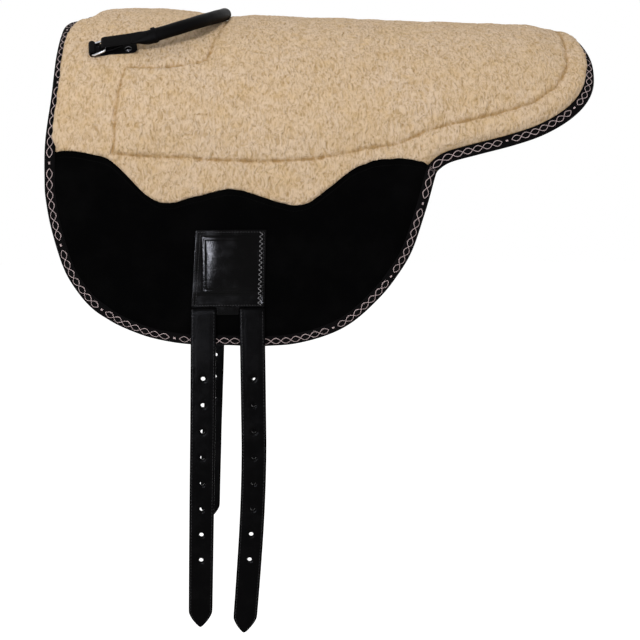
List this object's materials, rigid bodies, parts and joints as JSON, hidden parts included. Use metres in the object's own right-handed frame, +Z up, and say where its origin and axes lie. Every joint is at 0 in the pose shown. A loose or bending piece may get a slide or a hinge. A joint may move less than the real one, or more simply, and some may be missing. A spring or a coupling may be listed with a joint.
{
  "type": "bareback pad",
  "caption": "Padded fleece and suede bareback pad for riding, with a taped edge, girth billets on leather plates and a rolled leather hand hold.",
  "frame": {"origin": "on the lining's underside at the ridge of the back, between the billets of the two sides", "axes": "+X runs back to the loin, -Y is the near (left) side, +Z is up"},
  "size_m": [0.673, 0.4248, 0.7779],
  "materials": {
    "fleece": "curly pile",
    "foam": "open foam",
    "lining": "woven",
    "suede": "suede",
    "tape": "ribbed weave",
    "leather": "gloss",
    "webbing": "woven",
    "rope": "twisted",
    "chrome": "polished"
  },
  "bodies": {
    "pad": {"lining": "lining", "foam_core": "foam", "seat_foam": "foam", "fleece_cover": "fleece", "suede_panel_left": "suede", "suede_panel_right": "suede", "edge_binding": "tape", "billet_webbing": "webbing", "billet_backing_left": "leather", "billet_backing_right": "leather", "billet_plate_left": "leather", "billet_plate_right": "leather", "plate_field_left": "leather", "plate_field_right": "leather", "handle_tab_left": "leather", "handle_tab_right": "leather", "tab_rivet_left": "chrome", "tab_rivet_right": "chrome", "handle_ring_left": "chrome", "handle_ring_right": "chrome", "handle_end_left": "leather", "handle_end_right": "leather"},
    "grip": {"handle_grip": "leather", "handle_core": "rope", "handle_keeper_left": "leather", "handle_keeper_right": "leather"},
    "left_front_billet": {"billet_left_front": "leather"},
    "left_rear_billet": {"billet_left_rear": "leather"},
    "right_front_billet": {"billet_right_front": "leather"},
    "right_rear_billet": {"billet_right_rear": "leather"}
  },
  "joints": [
    {"name": "grip_swing", "type": "hinge", "parent": "pad", "child": "grip", "pos_m": [-0.09481, 0, -0.01225], "axis": [0, -1, 0], "range_deg": [0, 90]},
    {"name": "left_front_billet_swing", "type": "hinge", "parent": "pad", "child": "left_front_billet", "pos_m": [-0.031, -0.20985, -0.33315], "axis": [-1, 0, 0], "range_deg": [0, 100]},
    {"name": "left_rear_billet_swing", "type": "hinge", "parent": "pad", "child": "left_rear_billet", "pos_m": [0.0276, -0.20985, -0.33315], "axis": [-1, 0, 0], "range_deg": [0, 100]},
    {"name": "right_front_billet_swing", "type": "hinge", "parent": "pad", "child": "right_front_billet", "pos_m": [-0.031, 0.20985, -0.33315], "axis": [1, 0, 0], "range_deg": [0, 100]},
    {"name": "right_rear_billet_swing", "type": "hinge", "parent": "pad", "child": "right_rear_billet", "pos_m": [0.0276, 0.20985, -0.33315], "axis": [1, 0, 0], "range_deg": [0, 100]}
  ]
}
